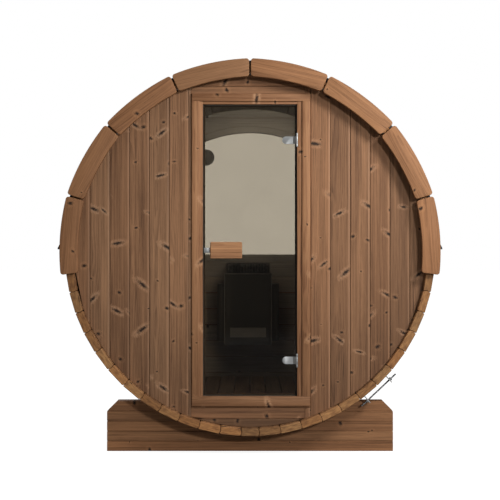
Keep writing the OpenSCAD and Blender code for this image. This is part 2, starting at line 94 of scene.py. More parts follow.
class Nodes:
    """Builds the nodes of a material or a world with short calls."""

    def __init__(self, owner, output="ShaderNodeOutputMaterial"):
        owner.use_nodes = True
        self.owner = owner
        self.tree = owner.node_tree
        self.tree.nodes.clear()
        self.output = self.tree.nodes.new(output)

    def add(self, kind, inputs=None, **settings):
        node = self.tree.nodes.new(kind)
        for key, value in settings.items():
            setattr(node, key, value)
        for key, value in (inputs or {}).items():
            self.put(node.inputs[key], value)
        return node

    def put(self, socket, value):
        if isinstance(value, bpy.types.NodeSocket):
            self.tree.links.new(value, socket)
        else:
            socket.default_value = value

    def math(self, operation, a, b=0.0, clamp=False):
        node = self.add("ShaderNodeMath", {0: a, 1: b}, operation=operation)
        node.use_clamp = clamp
        return node.outputs[0]

    def times(self, a, b):
        return self.math("MULTIPLY", a, b)

    def plus(self, a, b):
        return self.math("ADD", a, b)

    def vector(self, operation, a, b=(0, 0, 0)):
        return self.add("ShaderNodeVectorMath", {0: a, 1: b}, operation=operation).outputs[0]

    def scaled(self, a, b):
        return self.vector("MULTIPLY", a, b)

    def length(self, a):
        return self.add("ShaderNodeVectorMath", {0: a}, operation="LENGTH").outputs["Value"]

    def noise(self, vector, scale, detail=3.0, roughness=0.55):
        return self.add(
            "ShaderNodeTexNoise",
            {"Vector": vector, "Scale": scale, "Detail": detail, "Roughness": roughness},
        ).outputs["Fac"]

    def span(self, value, low, high, to_low=0.0, to_high=1.0, smooth=False):
        """Maps low..high to to_low..to_high, held at the ends."""
        node = self.add(
            "ShaderNodeMapRange",
            {0: value, 1: low, 2: high, 3: to_low, 4: to_high},
            interpolation_type="SMOOTHSTEP" if smooth else "LINEAR",
        )
        return node.outputs[0]

    def mix(self, factor, a, b, blend="MIX"):
        node = self.add("ShaderNodeMix", data_type="RGBA", blend_type=blend)
        self.put(node.inputs[0], factor)
        self.put(node.inputs[6], a)
        self.put(node.inputs[7], b)
        return node.outputs[2]

    def tinted(self, colour, by):
        """A colour multiplied by another."""
        return self.mix(1.0, colour, by, blend="MULTIPLY")

    def grey(self, value):
        """A colour of one level in all three parts."""
        return self.add("ShaderNodeCombineColor", {0: value, 1: value, 2: value}).outputs[0]

    def place(self):
        """Where a point lies on its object."""
        return self.add("ShaderNodeTexCoord").outputs["Object"]

    def attribute(self, name, output):
        return self.add("ShaderNodeAttribute", attribute_name=name).outputs[output]

    def bump(self, height, distance, strength=1.0, under=None):
        inputs = {"Height": height, "Distance": distance, "Strength": strength}
        if under is not None:
            inputs["Normal"] = under
        return self.add("ShaderNodeBump", inputs).outputs[0]

    def principled(self, **inputs):
        shader = self.add("ShaderNodeBsdfPrincipled")
        for key, value in inputs.items():
            self.put(shader.inputs[key.replace("_", " ")], value)
        return self.show(shader)

    def show(self, shader):
        """Makes a shader the finished look."""
        self.tree.links.new(shader.outputs[0], self.output.inputs[0])
        return self.owner


def new_material(name):
    return Nodes(bpy.data.materials.new(name))


def shaded(colour, share):
    """A colour at a share of its brightness."""
    return tuple(c * share for c in colour[:3]) + (1,)


def rgb(r, g, b):
    """A colour seen on screen, 0 to 255, as the linear colour that a shader takes."""
    def linear(c):
        c = c / 255
        return c / 12.92 if c <= 0.04045 else ((c + 0.055) / 1.055) ** 2.4
    return (linear(r), linear(g), linear(b), 1.0)


def knots(n, grain, cell, share, sizes, lean, stretch):
    """One knot to a cell of the board's face, in a share of the cells, turned by up to lean
    radians and stretched. Gives how dark the knot is, its dark rim and the pale, bent wood
    round it, each 0 to 1."""
    scaled = n.vector("DIVIDE", n.scaled(grain, (1, 1, 0)), cell)
    cells = n.add("ShaderNodeTexVoronoi", {"Vector": scaled, "Scale": 1.0, "Randomness": 0.85},
                  voronoi_dimensions="2D")
    away = n.scaled(n.vector("SUBTRACT", scaled, cells.outputs["Position"]), cell)
    chance = n.add("ShaderNodeSeparateColor", {0: cells.outputs["Color"]})
    turn = n.span(chance.outputs[2], 0.0, 1.0, -lean, lean)
    turned = n.add("ShaderNodeVectorRotate", {"Vector": away, "Angle": turn},
                   rotation_type="Z_AXIS").outputs[0]
    ragged = n.times(n.math("SUBTRACT", n.noise(grain, 125.0, 4.0, 0.65), 0.5), 19 * MM)
    reach = n.plus(n.length(n.scaled(turned, (1, 1 / stretch, 0))), ragged)
    size = n.span(chance.outputs[1], 0.0, 1.0, *sizes)
    part = n.math("DIVIDE", reach, size)
    present = n.math("LESS_THAN", chance.outputs[0], share)
    core = n.times(present, n.span(part, 0.55, 1.05, 1.0, 0.0, smooth=True))
    rim = n.times(present, n.span(part, 0.9, 2.0, 1.0, 0.0, smooth=True))
    wide = n.plus(n.length(n.scaled(turned, (0.6, 0.75 / stretch, 0))), n.times(ragged, 0.5))
    wide_part = n.math("DIVIDE", wide, size)
    halo = n.times(present, n.span(wide_part, 0.7, 2.4, 1.0, 0.0, smooth=True))
    return core, rim, halo


# How strong the streaks and the broad figure of the wood are, and how rough its surface is
FINE_STREAKS, BROAD_STREAKS = 0.4125, 0.3375
WOOD_ROUGHNESS = 0.64
# Heights between which the wood goes from dark, under a painted shade for the light that falls off towards
# the ground, to its full brightness
SHADED_BELOW, LIT_ABOVE = 0.25, 1.25


def growth_rings(n, grain, halo, ring):
    """The distance from the pith, and how dark the late wood is, 0 to 1. The rings waver, and
    the knots push them aside."""
    drift = n.noise(n.scaled(grain, (1.1, 7, 7)), 1.0, 2.0)
    waver = n.noise(n.scaled(grain, (4.0, 60, 60)), 1.0, 3.0)
    across = n.length(n.scaled(grain, (0, 1, 1)))
    bent = across
    for push, reach in ((drift, 36 * MM), (waver, 6 * MM), (halo, 7 * MM)):
        bent = n.plus(bent, n.times(push, reach))
    phase = n.math("FRACT", n.math("DIVIDE", bent, ring))
    late = n.times(n.span(phase, 0.15, 0.9, 0.0, 1.0, smooth=True), n.span(phase, 0.9, 1.0, 1.0, 0.0))
    return across, late


def figure(n, grain, late, fibre, halo):
    """How dark the wood is from its rings, streaks and fibres, 0 to 1."""
    streaks = n.span(n.noise(n.scaled(grain, (1.8, 95, 95)), 1.0, 5.0, 0.65), 0.3, 0.7)
    broad = n.span(n.noise(n.scaled(grain, (0.9, 17, 17)), 1.0, 3.0), 0.32, 0.68)
    shade = n.times(late, n.span(streaks, 0.1, 0.9, 0.08, 0.36))
    shade = n.plus(shade, n.times(streaks, FINE_STREAKS))
    shade = n.plus(shade, n.times(broad, BROAD_STREAKS))
    shade = n.plus(shade, n.times(n.math("SUBTRACT", fibre, 0.5), 0.5))
    return n.math("SUBTRACT", shade, n.times(halo, 0.25), clamp=True)


def board_level(n, tone, tone_spread, low_shade):
    """A board's brightness, from its own tone and from a painted shade by its height above the ground:
    darker lower down, where less light falls.
    """
    level = n.plus(n.times(tone, -tone_spread), 1 + tone_spread / 2)
    place = n.add("ShaderNodeSeparateXYZ", {0: n.place()})
    # Painted shade: the wood is darker near the ground, where less light falls
    lit_share = n.span(place.outputs[2], SHADED_BELOW, LIT_ABOVE, 1 - low_shade, 1.0, smooth=True)
    return n.times(level, lit_share)


def end_grain(n, grain, across, ring, light, dark):
    """Sawn end grain: paler and yellower, with blurred rings and dark blotches."""
    waver = n.times(n.noise(n.scaled(grain, (0, 25, 25)), 1.0, 2.0), 12 * MM)
    rings = n.math("FRACT", n.math("DIVIDE", n.plus(across, waver), ring))
    ends = n.mix(n.span(rings, 0.2, 0.95, 0.0, 0.55, smooth=True), light, shaded(light, 0.5))
    blotch = n.noise(n.scaled(grain, (0, 26, 110)), 1.0, 3.0, 0.6)
    return n.mix(n.span(blotch, 0.36, 0.66, 0.0, 0.7), ends, dark)


def wood(name, light, dark, knot_share=0.5, wing_share=0.45, ring=4.6 * MM, end_light=None,
         tone_spread=0.34, low_shade=0.0):
    """Heat-treated softwood. The attribute grain holds each board's own place: along, across
    and through, from its pith. The attribute tone is 0 to 1 and makes one board darker. The last
    argument is a painted shade: how much darker the wood is painted near the ground, where less light falls."""
    n = new_material(name)
    grain = n.attribute("grain", "Vector")
    tone = n.attribute("tone", "Fac")
    elsewhere = n.vector("ADD", grain, (3.7, 1.9, 0))
    round_knots = knots(n, grain, cell=(0.27, 0.10, 1.0), share=knot_share,
                        sizes=(3.0 * MM, 8.5 * MM), lean=0.7, stretch=1.5)
    winged_knots = knots(n, elsewhere, cell=(0.36, 0.105, 1.0), share=wing_share,
                         sizes=(4.5 * MM, 9.0 * MM), lean=0.8, stretch=3.4)
    core, rim, halo = (n.math("MAXIMUM", a, b) for a, b in zip(round_knots, winged_knots))

    across, late = growth_rings(n, grain, halo, ring)
    fibre = n.noise(n.scaled(grain, (26, 900, 900)), 1.0, 3.0, 0.6)
    colour = n.mix(figure(n, grain, late, fibre, halo), light, dark)
    cracks = n.noise(n.scaled(grain, (3.2, 210, 210)), 1.0, 2.0)
    colour = n.mix(n.span(cracks, 0.68, 0.76, 0.0, 0.75), colour, shaded(dark, 0.3))
    # The board's tone, with a painted shade that darkens it near the ground
    level = board_level(n, tone, tone_spread, low_shade)
    colour = n.tinted(colour, n.grey(level))

    # Sunk strips carry a painted highlight, lighter as if they caught the light, and the wings beside knots
    # are paler and greyer
    bright = (light[0] * 1.12, light[1] * 1.25, light[2] * 1.45, 1)
    ragged = n.span(n.noise(n.scaled(grain, (70, 110, 110)), 1.0, 3.0, 0.6), 0.36, 0.6)
    wing = n.times(n.times(winged_knots[2], ragged), 0.9)
    colour = n.mix(n.math("MAXIMUM", n.attribute("lift", "Fac"), wing), colour, bright)

    # Some boards are warmer
    warm = n.span(n.math("FRACT", n.times(tone, 7.3)), 0.0, 1.0, 0.0, 0.6)
    colour = n.mix(warm, colour, n.tinted(colour, (1.10, 0.93, 0.80, 1)))
    colour = n.mix(n.times(rim, 0.55), colour, shaded(dark, 0.50))
    colour = n.mix(n.times(core, 0.92), colour, shaded(dark, 0.16))
    if end_light is not None:
        ends = n.tinted(end_grain(n, grain, across, ring, end_light, dark), n.grey(level))
        ends = n.mix(warm, ends, n.tinted(ends, (1.06, 0.80, 0.58, 1)))
        colour = n.mix(n.attribute("end", "Fac"), colour, ends)

    normal = n.bump(n.plus(n.times(late, 0.35), n.times(fibre, 0.65)), 0.35 * MM, 0.6)
    normal = n.bump(core, -0.4 * MM, 0.5, normal)
    rough = n.span(fibre, 0.3, 0.7, WOOD_ROUGHNESS - 0.07, WOOD_ROUGHNESS + 0.08)
    return n.principled(Base_Color=colour, Roughness=rough, Normal=normal, Specular_IOR_Level=0.25)


def steel(name, colour, roughness, brushed=(400, 400, 8)):
    """Satin steel with fine brushing along one axis and faint smudges."""
    n = new_material(name)
    place = n.place()
    brush = n.noise(n.scaled(place, brushed), 1.0, 3.0, 0.6)
    smudge = n.noise(place, 38.0, 4.0)
    tint = n.mix(n.span(smudge, 0.35, 0.7, 0.0, 0.35), colour, shaded(colour, 0.78))
    rough = n.plus(n.span(brush, 0.3, 0.7, roughness - 0.06, roughness + 0.08),
                   n.span(smudge, 0.4, 0.7, 0.0, 0.06))
    normal = n.bump(brush, 0.05 * MM, 0.35)
    return n.principled(Base_Color=tint, Metallic=1.0, Roughness=rough, Normal=normal)


def pane(name, tint, mirror_index=1.36):
    """Flat glass: what is behind shows through tinted, and its outer faces mirror a little."""
    n = new_material(name)
    place = n.place()
    film = n.span(n.noise(place, 6.0, 4.0), 0.35, 0.7)
    clear = n.add("ShaderNodeBsdfTransparent",
                  {"Color": n.mix(film, tint, shaded(tint, 0.985))})
    satin = n.span(film, 0, 1, 0.02, 0.05)
    mirror = n.add("ShaderNodeBsdfGlossy", {"Color": (1, 1, 1, 1), "Roughness": satin})
    fresnel = n.add("ShaderNodeFresnel", {"IOR": mirror_index})
    outside = n.math("SUBTRACT", 1.0, n.add("ShaderNodeNewGeometry").outputs["Backfacing"])
    share = n.times(fresnel.outputs[0], outside)
    both = n.add("ShaderNodeMixShader", {0: share, 1: clear.outputs[0], 2: mirror.outputs[0]})
    return n.show(both)


def granules(name, colour, speck):
    """Mineral granules bedded in bitumen."""
    n = new_material(name)
    place = n.place()
    grains = n.add("ShaderNodeTexVoronoi", {"Vector": place, "Scale": 620.0, "Randomness": 1.0})
    pick = n.add("ShaderNodeSeparateColor", {0: grains.outputs["Color"]})
    patch = n.noise(place, 5.0, 4.0)
    tone = n.attribute("tone", "Fac")
    base = n.mix(n.span(pick.outputs[0], 0.45, 0.95), colour, speck)
    base = n.mix(n.span(patch, 0.3, 0.7, 0.0, 0.35), base, shaded(colour, 0.55))
    base = n.tinted(base, n.grey(n.span(tone, 0.0, 1.0, 1.25, 0.75)))
    normal = n.bump(grains.outputs["Distance"], 1.0 * MM, 0.7)
    return n.principled(Base_Color=base, Roughness=n.span(pick.outputs[1], 0, 1, 0.78, 0.98), Normal=normal)


def rock(name, colour, pale):
    """Rough dark stone with pale mineral flecks."""
    n = new_material(name)
    place = n.place()
    big = n.noise(place, 26.0, 5.0, 0.6)
    fine = n.noise(place, 190.0, 4.0, 0.65)
    base = n.mix(n.span(big, 0.35, 0.7), colour, shaded(colour, 1.9))
    base = n.mix(n.span(fine, 0.62, 0.72), base, pale)
    normal = n.bump(fine, 1.6 * MM, 0.8)
    normal = n.bump(big, 3 * MM, 0.5, normal)
    return n.principled(Base_Color=base, Roughness=n.span(fine, 0.3, 0.7, 0.75, 0.95), Normal=normal)


def coated(name, colour, roughness, grain_size=0.5 * MM, depth=0.15 * MM):
    """Paint, rubber or plastic with a fine texture and slight wear."""
    n = new_material(name)
    place = n.place()
    fine = n.noise(place, 1 / grain_size / 3, 3.0)
    broad = n.noise(place, 9.0, 4.0)
    base = n.mix(n.span(broad, 0.35, 0.7, 0.0, 0.4), colour, shaded(colour, 1.5))
    rough = n.span(broad, 0.3, 0.7, roughness - 0.06, roughness + 0.08)
    return n.principled(Base_Color=base, Roughness=rough, Normal=n.bump(fine, depth, 0.5))


STAVE = wood("stave_wood", rgb(160, 118, 78), rgb(92, 60, 36), knot_share=0.4, tone_spread=0.5,
             end_light=rgb(168, 125, 80))
# The wall wood carries a painted shade near the ground
WALL = wood("wall_wood", rgb(157, 117, 84), rgb(74, 48, 30), knot_share=0.65, wing_share=0.6,
            tone_spread=0.32, low_shade=0.27)
LINING = wood("grey_wood", rgb(160, 158, 152), rgb(122, 119, 112), knot_share=0.1, wing_share=0.05,
              tone_spread=0.08)
# The frame wood also carries a painted shade near the ground
FRAME = wood("frame_wood", rgb(175, 130, 92), rgb(100, 62, 37), knot_share=0.8, wing_share=0.25,
             tone_spread=0.2, low_shade=0.25)
TRIM = wood("trim_wood", rgb(167, 123, 86), rgb(100, 67, 41), knot_share=0.25, wing_share=0.15,
            tone_spread=0.55)
CRADLE = wood("cradle_wood", rgb(156, 113, 77), rgb(82, 54, 34), knot_share=0.75, wing_share=0.0,
              tone_spread=0.3, end_light=rgb(150, 112, 74))
FLOOR = wood("floor_wood", rgb(150, 130, 108), rgb(98, 82, 66), knot_share=0.5, tone_spread=0.25)
DECK = wood("deck_wood", rgb(52, 44, 38), rgb(30, 25, 21), knot_share=0.3)
HANDLE = wood("handle_wood", rgb(184, 138, 98), rgb(92, 56, 34), knot_share=0.12, ring=3.4 * MM,
              tone_spread=0.1)
STEEL = steel("satin_steel", (0.42, 0.43, 0.43, 1), 0.42)
ROD_STEEL = steel("rod_steel", (0.28, 0.285, 0.29, 1), 0.38)
BAND_STEEL = steel("band_steel", (0.55, 0.55, 0.54, 1), 0.30, brushed=(8, 500, 8))
DARK_STEEL = steel("basket_steel", (0.22, 0.22, 0.21, 1), 0.45, brushed=(8, 300, 300))
PALE_STEEL = coated("heater_pale_paint", (0.29, 0.30, 0.29, 1), 0.45)
HEATER = coated("heater_paint", (0.065, 0.066, 0.062, 1), 0.5)
RUBBER = coated("seal_rubber", (0.012, 0.012, 0.012, 1), 0.55)
PALE_RUBBER = coated("seal_silicone", (0.09, 0.083, 0.073, 1), 0.55)
VENT = coated("vent_plastic", (0.13, 0.125, 0.115, 1), 0.5)
SHINGLES = granules("shingle_granules", (0.030, 0.030, 0.031, 1), (0.10, 0.10, 0.10, 1))
STONE = rock("sauna_stone", (0.075, 0.078, 0.075, 1), (0.30, 0.30, 0.28, 1))
SMOKED = pane("smoked_pane", (0.665, 0.618, 0.549, 1))
CLEAR = pane("clear_pane", (0.965, 0.975, 0.965, 1))


# ---------------------------------------------------------------- making pieces


def ring_faces(rings, count):
    """The faces of a closed skin over rings of count points each."""
    faces = [(s * count + i, s * count + (i + 1) % count,
              (s + 1) * count + (i + 1) % count, (s + 1) * count + i)
             for s in range(rings - 1) for i in range(count)]
    last = (rings - 1) * count
    return faces + [tuple(range(count))[::-1], tuple(range(last, last + count))]


class Boards:
    """Gathers many boards into one mesh, each with its own grain and tone."""

    def __init__(self, name):
        self.name = name
        self.points, self.faces = [], []
        self.grain, self.tone, self.lift, self.end = [], [], [], []
        self.rng = random.Random(name)

    def add(self, points, faces, grain, tone, lift=None, end_faces=0):
        """Adds a closed shape. The last end_faces of its faces show end grain."""
        first = len(self.points)
        self.points += [tuple(p) for p in points]
        self.faces += [tuple(first + i for i in f) for f in faces]
        self.grain += [tuple(g) for g in grain]
        self.tone += [tone] * len(points)
        self.lift += list(lift) if lift is not None else [0.0] * len(points)
        self.end += [0.0] * (len(faces) - end_faces) + [1.0] * end_faces

    def pith(self):
        """Where a board was cut from its tree: along, and the pith across and below its face."""
        return Vector((self.rng.uniform(0, 40), self.rng.uniform(-0.05, 0.05),
                       self.rng.uniform(0.03, 0.14)))

    def prism(self, profile, place, start, end, tone=None, highlights=None, ease=0.0, size=(1, 1),
              mark_ends=False):
        """A board of one profile, a list of (across, through), run from start to end, which are
        numbers or functions of a profile point. ease rounds off the rims of its two ends, and
        then size is the profile's width and depth."""
        at = self.pith()
        base = self.rng.random() if tone is None else tone
        low = start if callable(start) else (lambda p: start)
        high = end if callable(end) else (lambda p: end)
        middle = (sum(p[0] for p in profile) / len(profile), sum(p[1] for p in profile) / len(profile))
        shrunk = [(m + (p - m) * (1 - 2 * ease / size[0]), n + (q - n) * (1 - 2 * ease / size[1]))
                  for (p, q), (m, n) in ((pt, middle) for pt in profile)]
        stations = [(profile, low, 0.0), (profile, high, 0.0)]
        if ease:
            stations = [(shrunk, low, 0.0), (profile, low, ease), (profile, high, -ease),
                        (shrunk, high, 0.0)]
        points, grain, lift = [], [], []
        for outline, along_of, step in stations:
            for i, point in enumerate(outline):
                along = along_of(profile[i]) + step
                points.append(place(along, *point))
                grain.append((at.x + along, at.y + point[0], at.z + point[1]))
                lift.append(highlights[i] if highlights else 0.0)
        self.add(points, ring_faces(len(stations), len(profile)), grain, base, lift,
                 2 if mark_ends else 0)

    def build(self, material, body="root", replaces=(), smooth_angle=None):
        mesh = bpy.data.meshes.new(self.name)
        mesh.from_pydata(self.points, [], self.faces)
        # lift holds the painted highlight on the sunk strips of the wall boards
        for key, kind, domain, values in (
                ("grain", "FLOAT_VECTOR", "POINT", self.grain), ("tone", "FLOAT", "POINT", self.tone),
                ("lift", "FLOAT", "POINT", self.lift), ("end", "FLOAT", "FACE", self.end)):
            attribute = mesh.attributes.new(key, kind, domain)
            attribute.data.foreach_set("vector" if kind == "FLOAT_VECTOR" else "value",
                                       np.array(values, np.float32).ravel())
        bm = bmesh.new()
        bm.from_mesh(mesh)
        bmesh.ops.recalc_face_normals(bm, faces=bm.faces)
        bm.to_mesh(mesh)
        bm.free()
        return finish_piece(mesh, self.name, material, body, replaces, smooth_angle)


def round_profile(radius, sides=8):
    """A round bar's cross-section."""
    return [(radius * math.cos(2 * math.pi * i / sides), radius * math.sin(2 * math.pi * i / sides))
            for i in range(sides)]


def finish_piece(mesh, name, material, body, replaces=(), smooth_angle=None):
    """Links a mesh as a piece that rides on a body and takes its finish from a slot."""
    mesh.materials.clear()
    mesh.materials.append(material)
    if smooth_angle is not None:
        mesh.shade_smooth()
        mesh.set_sharp_from_angle(angle=math.radians(smooth_angle))
    piece = bpy.data.objects.new(name, mesh)
    bpy.context.scene.collection.objects.link(piece)
    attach(piece, body)
    if replaces:
        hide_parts(*replaces)
    return piece


def line_faces(piece, is_lined):
    """Gives grey wood to the faces of a piece that a test picks."""
    piece.data.materials.append(LINING)
    for polygon in piece.data.polygons:
        if is_lined(polygon):
            polygon.material_index = 1


def finish_node(node, material):
    """Shows a CAD node as it is, in a finish of this script."""
    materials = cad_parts[node].data.materials
    materials.clear()
    materials.append(material)


def cad_bmesh(node):
    """A CAD node's shape, with its flat faces joined back from triangles."""
    bm = bmesh.new()
    bm.from_mesh(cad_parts[node].data)
    bmesh.ops.remove_doubles(bm, verts=bm.verts, dist=0.02 * MM)
    bmesh.ops.dissolve_limit(bm, angle_limit=math.radians(0.5), verts=bm.verts, edges=bm.edges)
    return bm


def islands(bm):
    """The separate solids of a bmesh, each as a list of vertices."""
    left, found = set(bm.verts), []
    while left:
        stack, group = [next(iter(left))], []
        left.discard(stack[0])
        while stack:
            v = stack.pop()
            group.append(v)
            for e in v.link_edges:
                w = e.other_vert(v)
                if w in left:
                    left.discard(w)
                    stack.append(w)
        found.append(group)
    return sorted(found, key=lambda g: tuple(round(c, 4) for c in min(v.co[:] for v in g)))


def longest_first(points):
    """Axes for a board's grain: along its longest side, then across, then through."""
    size = points.max(0) - points.min(0)
    order = np.argsort(-size)
    return [(X, Y, Z)[i] for i in order]


def along_x(points):
    """A level board seen from the front."""
    return [X, Z, Y]


def along_z(points):
    """An upright board seen from the front."""
    return [Z, X, Y]


def grain_islands(bm, name, axes_of=longest_first, tone=None):
    """Gives each separate solid its own grain and tone. tone is a number, or a function of
    the solid's middle."""
    rng = random.Random(name)
    grain = bm.verts.layers.float_vector.new("grain")
    tones = bm.verts.layers.float.new("tone")
    ends = bm.faces.layers.float.new("end")
    for group in islands(bm):
        points = np.array([v.co[:] for v in group])
        axes = axes_of(points)
        centre = Vector((points.min(0) + points.max(0)) / 2)
        at = Vector((rng.uniform(0, 40), rng.uniform(-0.05, 0.05), rng.uniform(0.04, 0.14)))
        value = rng.random() if tone is None else tone(centre) if callable(tone) else tone
        for v in group:
            away = v.co - centre
            v[grain] = at + Vector([away.dot(a) for a in axes])
            v[tones] = value
            for face in v.link_faces:
                face[ends] = 1.0 if abs(face.normal.dot(axes[0])) > 0.8 else 0.0


def bevel_sharp(bm, width, segments=2, angle=35, keep=None):
    """Eases the sharp edges of a shape."""
    edges = [e for e in bm.edges if e.is_manifold and e.calc_face_angle(0) > math.radians(angle)
             and (keep is None or keep(e))]
    bmesh.ops.bevel(bm, geom=edges, offset=width, segments=segments, profile=0.5, affect="EDGES",
                    clamp_overlap=True)


def eased(node, name, material, width, body="root", segments=2, axes_of=longest_first,
          tone=None):
    """A CAD node with its edges eased and grain laid on it, in place of the node."""
    bm = cad_bmesh(node)
    bevel_sharp(bm, width, segments)
    bmesh.ops.dissolve_degenerate(bm, dist=0.01 * MM, edges=bm.edges)
    grain_islands(bm, name, axes_of, tone)
    mesh = bpy.data.meshes.new(name)
    bm.to_mesh(mesh)
    bm.free()
    return finish_piece(mesh, name, material, body, (node,), smooth_angle=28)


def sliced(node, name, material, axis, cuts, gap, chamfer, axes_of=longest_first):
    """A CAD node sawn into boards at cuts along an axis, with chamfered joints, in its place."""
    def on_joint(e):
        return sum(abs(f.normal.dot(axis)) > 0.99 for f in e.link_faces) == 1

    whole = bmesh.new()
    edges = [-1e3] + sorted(cuts) + [1e3]
    for low, high in zip(edges, edges[1:]):
        bm = cad_bmesh(node)
        for at, sign in ((low + gap / 2, -1), (high - gap / 2, 1)):
            geometry = bm.verts[:] + bm.edges[:] + bm.faces[:]
            bmesh.ops.bisect_plane(bm, geom=geometry, plane_co=axis * at, plane_no=axis * sign,
                                   clear_outer=True)
            bmesh.ops.holes_fill(bm, edges=[e for e in bm.edges if e.is_boundary], sides=0)
        if not bm.faces:
            bm.free()
            continue
        bmesh.ops.recalc_face_normals(bm, faces=bm.faces)
        bevel_sharp(bm, chamfer, 1, 60, keep=on_joint)
        mesh = bpy.data.meshes.new("slice")
        bm.to_mesh(mesh)
        bm.free()
        whole.from_mesh(mesh)
        bpy.data.meshes.remove(mesh)
    grain_islands(whole, name, axes_of)
    mesh = bpy.data.meshes.new(name)
    whole.to_mesh(mesh)
    whole.free()
    return finish_piece(mesh, name, material, "root", (node,))


# ---------------------------------------------------------------- staves


def seam_angles(node):
    """Angles of a shell group's seams, counted from the bottom towards +X, in radians."""
    points = node_points(node)[:, [0, 2]] - [0, BARREL_Z]
    outer = points[np.hypot(*points.T) > BARREL_R - 1 * MM]
    angles = np.arctan2(outer[:, 0], -outer[:, 1])
    if np.abs(angles).max() > 3.0:
        angles = np.mod(angles, 2 * math.pi)
    return sorted(set(np.round(angles, 4)))


STAVE_RIM = 2.4 * MM  # how far the ends of the staves are eased


def stave_profile(half_angle):
    """A stave's cross-section: across, and out from the barrel's centre. One edge is a bead
    and the other a cove, and both rims are chamfered."""
    notch, bulge, joint = 5.0 * MM, 3.4 * MM, 0.9 * MM
    steps = 6
    outer, inner = BARREL_R * math.cos(half_angle), INSIDE_R * math.cos(half_angle)
    slope = math.tan(half_angle)

    def edge(side):
        places = []
        for i in range(steps + 1):
            s = i / steps
            height = (outer - notch) + (inner + 2 * notch - outer) * s
            out = bulge * math.sin(math.pi * s)
            places.append((side * (height * slope - joint) + out, height))
        return places

    right, left = edge(1), edge(-1)
    return ([(outer * slope - notch, outer)] + right + [(inner * slope - notch, inner)]
            + [(-inner * slope + notch, inner)] + left[::-1] + [(-outer * slope + notch, outer)])


CLOSING_STAVE = 110 * MM  # a stave narrower than this closes the ring, and is darker


def build_staves(node):
    """The separate staves of one shell group."""
    boards = Boards(node.replace("shell", "staves"))
    angles = seam_angles(node)
    for a, b in zip(angles, angles[1:]):
        middle, half = (a + b) / 2, (b - a) / 2
        outward = Vector((math.sin(middle), 0, -math.cos(middle)))
        sideways = Vector((math.cos(middle), 0, math.sin(middle)))
        centre = Vector((0, 0, BARREL_Z))
        short = boards.rng.uniform(0, 1.2) * MM
        closing = 2 * half * BARREL_R < CLOSING_STAVE
        tone = boards.rng.uniform(0.6, 1.0) if closing else boards.rng.random()

        def place(along, across, out):
            return centre + outward * out + sideways * across + Y * along

        boards.prism(stave_profile(half), place, -STAVE_END + short, STAVE_END - short,
                     tone=tone, ease=STAVE_RIM, size=(2 * half * BARREL_R, BARREL_R - INSIDE_R),
                     mark_ends=True)
    piece = boards.build(STAVE, replaces=(node,))
    if "top" in node or "upper" in node:
        line_faces(piece, faces_inwards)


def faces_inwards(polygon):
    """True on the inner faces of the staves."""
    place = Vector((polygon.center.x, 0, polygon.center.z - BARREL_Z))
    return place.length < INSIDE_R + 3 * MM and polygon.normal.dot(place) < -0.5 * place.length


for shell in SHELLS:
    build_staves(shell)


# ---------------------------------------------------------------- end walls


def board_profile(width, thickness, strip_highlight, strip=8.5 * MM):
    """Across a wall board, from its left edge, and its depth from the face: a chamfer, the face,
    a sunk strip that the next board leaves bare, and a small groove. The second list is a painted
    highlight that lightens the strip, as if it caught the light."""
    strip_depth, groove, groove_depth, rim = 1.8 * MM, 2.4 * MM, 7 * MM, 1.6 * MM
    face_end = width - groove - strip
    steps = 3
    points = [(0, thickness - rim), (0, groove_depth), (0, rim), (rim, 0)]
    highlights = [0.0, 0.0, 0.0, 0.0]
    for i in range(1, steps + 1):
        points.append((rim + (face_end - 3 * MM - rim) * i / steps, 0))
        highlights.append(0.0)
    points += [(face_end, 0.4 * MM), (width - groove, strip_depth + 1.4 * MM),
               (width - groove, groove_depth), (width, groove_depth), (width, thickness - rim),
               (width - rim, thickness), (rim, thickness)]
    highlights += [strip_highlight, strip_highlight, strip_highlight / 2, 0.0, 0.0, 0.0, 0.0]
    return points, highlights


def wall_board(boards, x0, x1, z_low=None, z_high=None):
    """An upright board of the front wall. z_low and z_high are heights, or None at the staves."""
    # The painted highlight on the strips is stronger on boards right of the middle, where the light comes
    # from
    profile, highlights = board_profile(x1 - x0, WALL_BACK - WALL_FRONT, 0.42 if x0 > 0 else 0.2)

    def reach(point):
        return math.sqrt(max(BOARD_END_R ** 2 - (x0 + point[0]) ** 2, 0))

    def low(point):
        return BARREL_Z - reach(point) if z_low is None else z_low

    def high(point):
        return BARREL_Z + reach(point) if z_high is None else z_high

    def place(along, across, through):
        return Vector((x0 + across, WALL_FRONT + through, along))

    boards.prism(profile, place, low, high, highlights=highlights)


def level_board(boards, z0, z1, x_low, x_high):
    """A level board over or under the door, its outer edge cut to the staves where it meets them."""
    thickness = WALL_BACK - WALL_FRONT
    rim, steps = 1.6 * MM, 8
    at = boards.pith()
    tone = boards.rng.random()
    points, grain = [], []
    for i in range(steps + 1):
        x = x_low + (x_high - x_low) * i / steps
        edge = math.sqrt(BOARD_END_R ** 2 - x * x)
        low = max(z0, BARREL_Z - edge)
        high = max(min(z1, BARREL_Z + edge), low + 0.5 * MM)
        ring = [(low + rim, 0), (high - rim, 0), (high, rim), (high, thickness), (low, thickness),
                (low, rim)]
        for z, through in ring:
            points.append(Vector((x, WALL_FRONT + through, z)))
            grain.append((at.x + x, at.y + z, at.z + through))
    boards.add(points, ring_faces(steps + 1, 6), grain, tone)


JOINT = 0.5 * MM  # between upright boards
LEVEL_JOINT = 1.5 * MM
SIDE_ROOM = 1 * MM  # between the outermost board and the staves
LEAST_BOARD = 15 * MM  # a narrower board is left out
FIRST_STRIP = 11 * MM  # the rest of a board beside the door, on its left
FILLER_W = 34 * MM  # the upright filler over and under the door, on the hinge side
HEAD_H, SILL_H = 41 * MM, 61 * MM  # the level boards next to the door
LOWEST_SHARE = 0.88  # how much of the opening's width the lowest board spans


